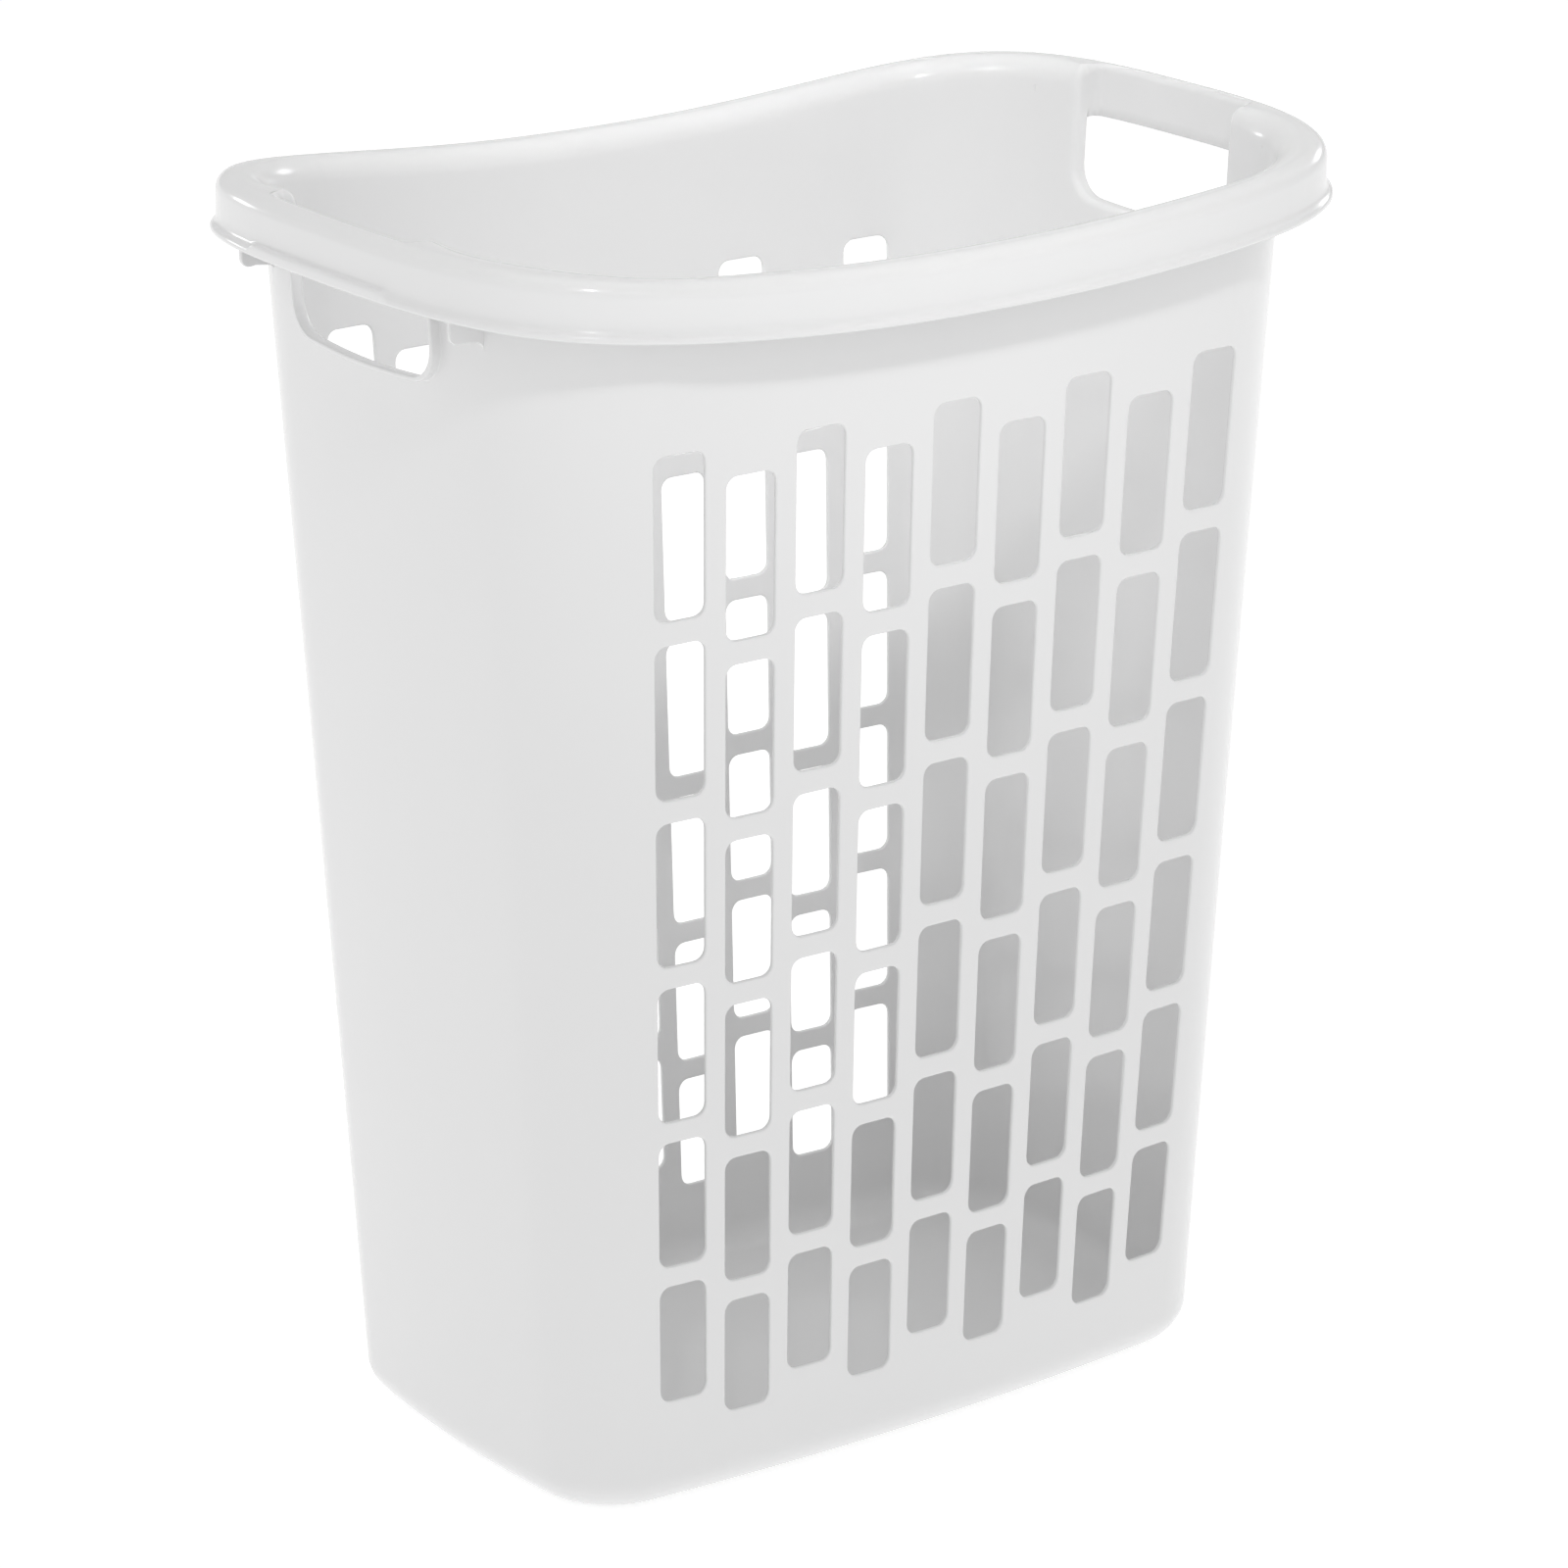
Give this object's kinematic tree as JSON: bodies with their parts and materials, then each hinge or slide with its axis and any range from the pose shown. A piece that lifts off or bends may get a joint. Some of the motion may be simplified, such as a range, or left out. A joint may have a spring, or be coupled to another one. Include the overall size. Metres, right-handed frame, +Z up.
{
  "type": "open laundry hamper",
  "caption": "Tall open-top laundry hamper moulded in white plastic, with slotted long walls, a rolled rim that rises to the ends, and a hand grip over an opening in each end",
  "frame": {"origin": "centre of the footprint on the floor", "axes": "+Z up, +X along the length from the left handle to the right handle, +Y from the front wall to the back wall"},
  "size_m": [0.5136, 0.3346, 0.62],
  "materials": {
    "white_plastic": "semi-gloss moulded polypropylene"
  },
  "bodies": {
    "root": {"floor_panel": "white_plastic", "base_edge_front": "white_plastic", "base_edge_right": "white_plastic", "base_edge_back": "white_plastic", "base_edge_left": "white_plastic", "base_corner_front_right": "white_plastic", "base_corner_back_right": "white_plastic", "base_corner_back_left": "white_plastic", "base_corner_front_left": "white_plastic", "front_wall": "white_plastic", "back_wall": "white_plastic", "right_end_wall": "white_plastic", "left_end_wall": "white_plastic", "corner_wall_front_right": "white_plastic", "corner_wall_back_right": "white_plastic", "corner_wall_back_left": "white_plastic", "corner_wall_front_left": "white_plastic", "front_rim": "white_plastic", "back_rim": "white_plastic", "rim_corner_front_right": "white_plastic", "rim_corner_back_right": "white_plastic", "rim_corner_back_left": "white_plastic", "rim_corner_front_left": "white_plastic", "right_grip": "white_plastic", "left_grip": "white_plastic", "right_handle_lip": "white_plastic", "left_handle_lip": "white_plastic", "handle_web_right_front": "white_plastic", "handle_web_right_back": "white_plastic", "handle_web_left_front": "white_plastic", "handle_web_left_back": "white_plastic", "gusset_right_front": "white_plastic", "gusset_right_back": "white_plastic", "gusset_left_front": "white_plastic", "gusset_left_back": "white_plastic"}
  },
  "joints": []
}
